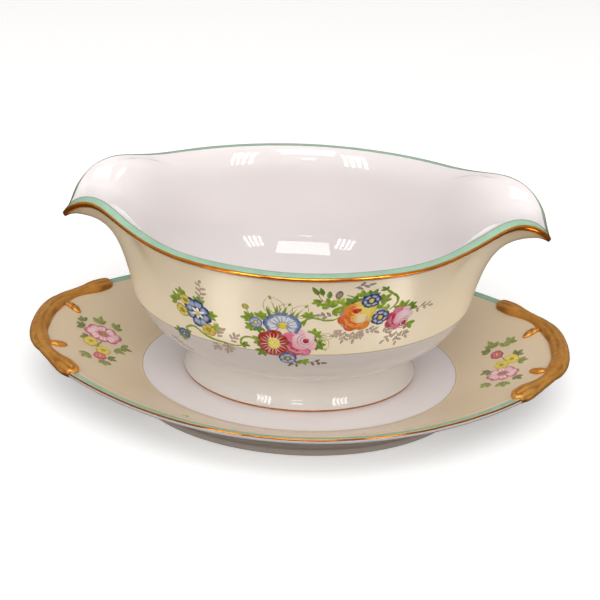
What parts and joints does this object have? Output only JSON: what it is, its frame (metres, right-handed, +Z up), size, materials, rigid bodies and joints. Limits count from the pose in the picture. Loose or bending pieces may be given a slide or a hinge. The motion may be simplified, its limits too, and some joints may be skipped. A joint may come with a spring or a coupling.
{
  "type": "gravy boat",
  "caption": "Oval porcelain sauce boat with a pouring spout at each end, on a flared foot, standing loose on an oval underplate with moulded branch handles.",
  "frame": {"origin": "middle of the underplate's foot ring, on the table", "axes": "+X from spout to spout, +Y across the boat, +Z up"},
  "size_m": [0.2348, 0.1478, 0.0969],
  "materials": {
    "boat_glaze": "gloss glaze, white with a cream band",
    "plate_glaze": "gloss glaze, cream slope round a white well",
    "gilding": "matt bronze gold over the glaze"
  },
  "bodies": {
    "underplate": {"underplate": "plate_glaze", "underplate_handle_left": "gilding", "underplate_handle_right": "gilding"},
    "boat": {"boat_bowl": "boat_glaze", "boat_foot": "boat_glaze"}
  },
  "joints": [
    {"name": "boat_lift", "type": "slide", "parent": "underplate", "child": "boat", "axis": [0, 0, 1], "range_m": [0, 0.12]}
  ]
}
